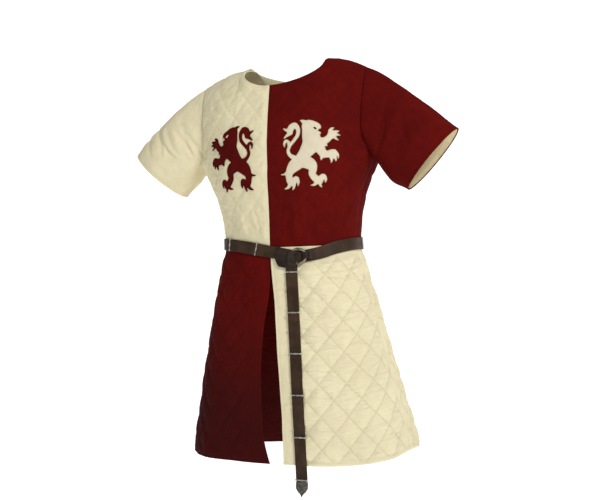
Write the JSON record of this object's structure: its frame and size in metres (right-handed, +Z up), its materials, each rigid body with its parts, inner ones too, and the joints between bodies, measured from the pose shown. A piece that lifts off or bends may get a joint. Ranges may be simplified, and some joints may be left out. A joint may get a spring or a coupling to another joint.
{
  "type": "gambeson",
  "caption": "Short-sleeved quilted gambeson, parted and quartered in red and cream with an applique lion on each breast, open in front below its knotted ring belt.",
  "frame": {"origin": "midway between the two shoulders where the garment hangs on its wearer, level with the neck ends of the shoulder seams", "axes": "+Z up along the garment's length, -Y towards the front, +X towards the wearer's left"},
  "size_m": [0.8615, 0.375, 1.011],
  "materials": {
    "red_linen": "matt linen over batting",
    "cream_linen": "matt quilted linen over batting",
    "cuff_lining": "plain matt cotton lining",
    "red_applique": "flat matt cloth, edge closely stitched",
    "cream_applique": "flat matt cloth, edge closely stitched",
    "belt_leather": "dark brown, satin, worn at the edges",
    "ring_brass": "aged, satin",
    "bar_steel": "satin",
    "chape_metal": "antique dark, satin"
  },
  "bodies": {
    "root": {"front_left": "red_linen", "skirt_front_left": "cream_linen", "back_left": "red_linen", "skirt_back_left": "cream_linen", "sleeve_left": "red_linen", "front_right": "cream_linen", "skirt_front_right": "red_linen", "back_right": "cream_linen", "skirt_back_right": "red_linen", "sleeve_right": "cream_linen", "cuff_lining_left": "cuff_lining", "lion_left": "cream_applique", "lion_right": "red_applique", "belt_band": "belt_leather", "belt_tail": "belt_leather", "belt_knot": "belt_leather", "belt_ring_loop": "belt_leather", "belt_ring": "ring_brass", "belt_chape": "chape_metal", "belt_bar_1": "bar_steel", "belt_bar_2": "bar_steel", "belt_bar_3": "bar_steel", "belt_bar_4": "bar_steel", "belt_bar_5": "bar_steel", "belt_bar_6": "bar_steel", "belt_bar_7": "bar_steel", "belt_bar_8": "bar_steel", "tail_bar_1": "bar_steel", "tail_bar_2": "bar_steel", "tail_bar_3": "bar_steel", "tail_bar_4": "bar_steel", "tail_bar_5": "bar_steel", "tail_bar_6": "bar_steel"}
  },
  "joints": []
}
